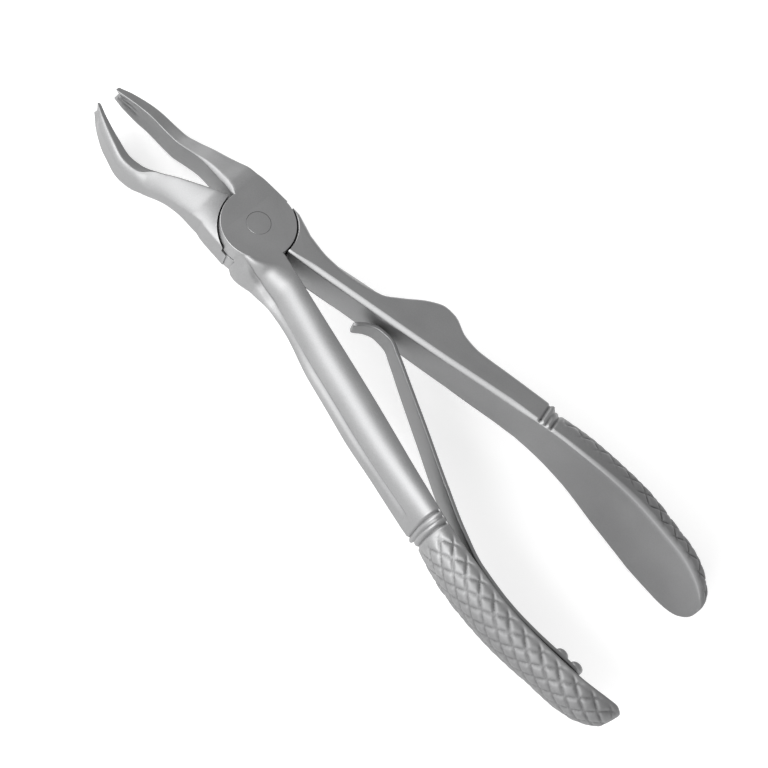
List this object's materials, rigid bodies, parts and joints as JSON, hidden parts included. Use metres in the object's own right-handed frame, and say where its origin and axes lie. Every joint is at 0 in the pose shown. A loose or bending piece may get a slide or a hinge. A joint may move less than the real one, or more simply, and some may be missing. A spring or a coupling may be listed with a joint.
{
  "type": "dental extraction forceps",
  "caption": "Bayonet-beak dental extraction forceps with a lap joint, knurled grips, a thumb rest and a leaf spring that holds the handles apart.",
  "frame": {"origin": "on the pivot axis, at the centre of the joint's flat front face", "axes": "+X towards the handle ends, +Y towards the rear lever's handle, +Z along the pivot axis, out of the joint's front face"},
  "size_m": [0.1352, 0.0393, 0.0153],
  "materials": {
    "lever_steel": "satin, bead-blasted stainless steel",
    "spring_steel": "satin spring steel strip with ground edges",
    "rivet_steel": "satin, ground flush at the joint"
  },
  "bodies": {
    "front_lever": {"front_lever": "lever_steel", "pivot_rivet": "rivet_steel", "spring_rivet_lower": "rivet_steel", "spring_rivet_upper": "rivet_steel"},
    "rear_lever": {"rear_lever": "lever_steel"},
    "leaf_spring": {"leaf_spring": "spring_steel"}
  },
  "joints": [
    {"name": "pivot", "type": "hinge", "parent": "front_lever", "child": "rear_lever", "pos_m": [0, 0, 0], "axis": [0, 0, 1], "range_deg": [-5.5, 12], "stiffness_Nm_per_rad": 1.1, "deforming": ["leaf_spring"]},
    {"name": "spring_flex", "type": "hinge", "parent": "front_lever", "child": "leaf_spring", "pos_m": [0.068, -0.0124, -0.0056], "axis": [0, 0, 1], "range_deg": [-10, 5], "deforming": ["leaf_spring"]}
  ],
  "couplings": [
    {"joint": "spring_flex", "follows": "pivot", "ratio": -0.7}
  ]
}
